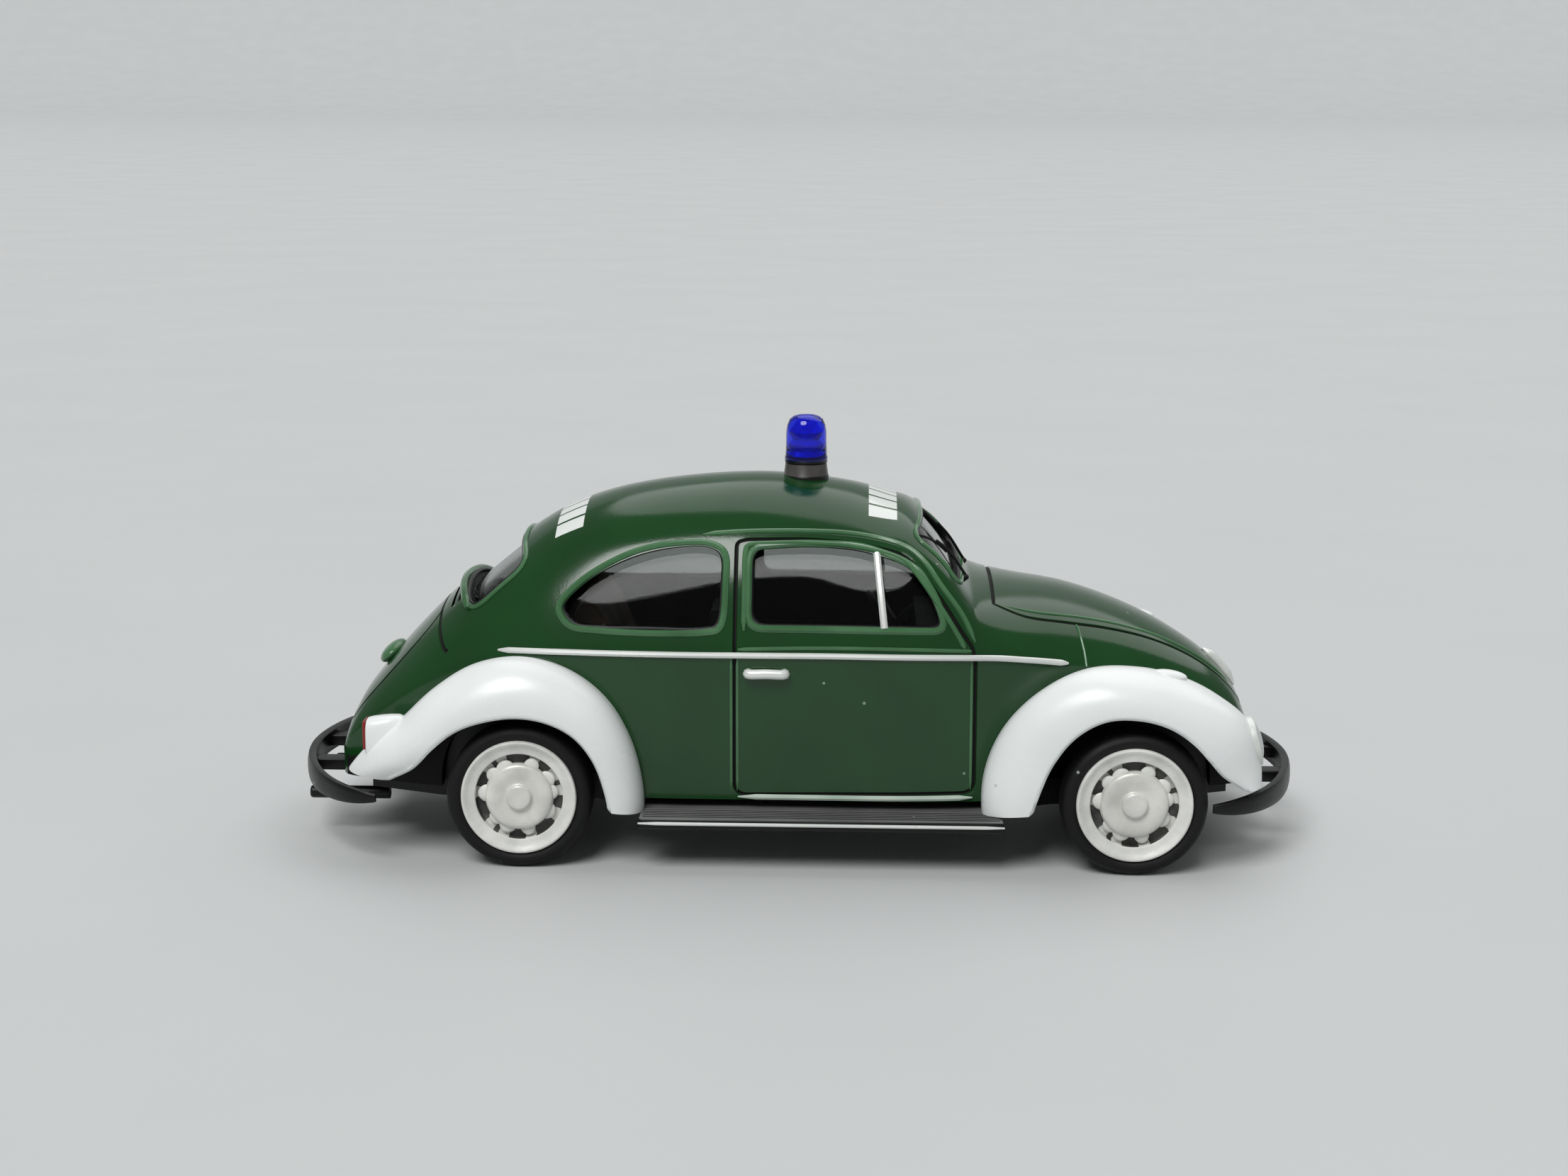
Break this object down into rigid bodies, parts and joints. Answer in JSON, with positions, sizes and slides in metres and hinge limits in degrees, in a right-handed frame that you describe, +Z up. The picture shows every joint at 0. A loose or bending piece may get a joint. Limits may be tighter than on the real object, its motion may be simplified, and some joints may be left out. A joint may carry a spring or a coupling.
{
  "type": "toy police car",
  "caption": "Small plastic model of a rounded saloon in police dress, with a blue roof light, separate wings and wheels that roll on their axles.",
  "frame": {"origin": "on the ground under the middle of the bounding box, with the wheels standing on z = 0", "axes": "+X to the nose along the car, +Y to the car's left, +Z up"},
  "size_m": [0.0468, 0.0178, 0.0197],
  "materials": {
    "body_green": "glossy dark green",
    "clear_glazing": "clear moulded plastic",
    "wing_white": "glossy white",
    "black_plastic": "satin black",
    "silver_trim": "silver print",
    "interior_dark": "dark grey moulding",
    "interior_brown": "brown-grey moulding",
    "blue_dome": "clear blue moulding",
    "lamp_clear": "clear lens",
    "lamp_red": "red lens",
    "axle_steel": "plain steel rod",
    "rim_white": "white-silver moulding",
    "tyre_black": "black rubber-like moulding",
    "cap_silver": "silver print"
  },
  "bodies": {
    "car": {"body_shell": "body_green", "glazing": "clear_glazing", "wing_front_left": "wing_white", "wing_front_right": "wing_white", "wing_rear_left": "wing_white", "wing_rear_right": "wing_white", "chassis": "black_plastic", "tail_pipes": "black_plastic", "running_board_left": "black_plastic", "running_board_right": "black_plastic", "board_strip_left": "silver_trim", "board_strip_right": "silver_trim", "front_bumper": "black_plastic", "rear_bumper": "black_plastic", "interior_tub": "interior_dark", "rear_bench": "interior_brown", "front_seat_left": "interior_dark", "front_seat_right": "interior_dark", "dashboard": "interior_dark", "steering_wheel": "interior_dark", "light_foot": "black_plastic", "light_dome": "blue_dome", "headlamp_left": "lamp_clear", "headlamp_right": "lamp_clear", "tail_lamp_left": "lamp_red", "tail_lamp_right": "lamp_red", "door_handle_left": "silver_trim", "door_handle_right": "silver_trim", "belt_strip_left": "silver_trim", "belt_strip_right": "silver_trim", "vent_bar_left": "silver_trim", "vent_bar_right": "silver_trim", "bonnet_handle": "silver_trim", "wipers": "black_plastic"},
    "front_wheelset": {"axle_front": "axle_steel", "rim_front_left": "rim_white", "rim_front_right": "rim_white", "tyre_front_left": "tyre_black", "tyre_front_right": "tyre_black", "hub_cap_front_left": "cap_silver", "hub_cap_front_right": "cap_silver"},
    "rear_wheelset": {"axle_rear": "axle_steel", "rim_rear_left": "rim_white", "rim_rear_right": "rim_white", "tyre_rear_left": "tyre_black", "tyre_rear_right": "tyre_black", "hub_cap_rear_left": "cap_silver", "hub_cap_rear_right": "cap_silver"}
  },
  "joints": [
    {"name": "front_axle_spin", "type": "hinge", "parent": "car", "child": "front_wheelset", "pos_m": [0.0153, 0, 0.0033], "axis": [0, 1, 0], "continuous": true},
    {"name": "rear_axle_spin", "type": "hinge", "parent": "car", "child": "rear_wheelset", "pos_m": [-0.0123, 0, 0.0033], "axis": [0, 1, 0], "continuous": true}
  ]
}
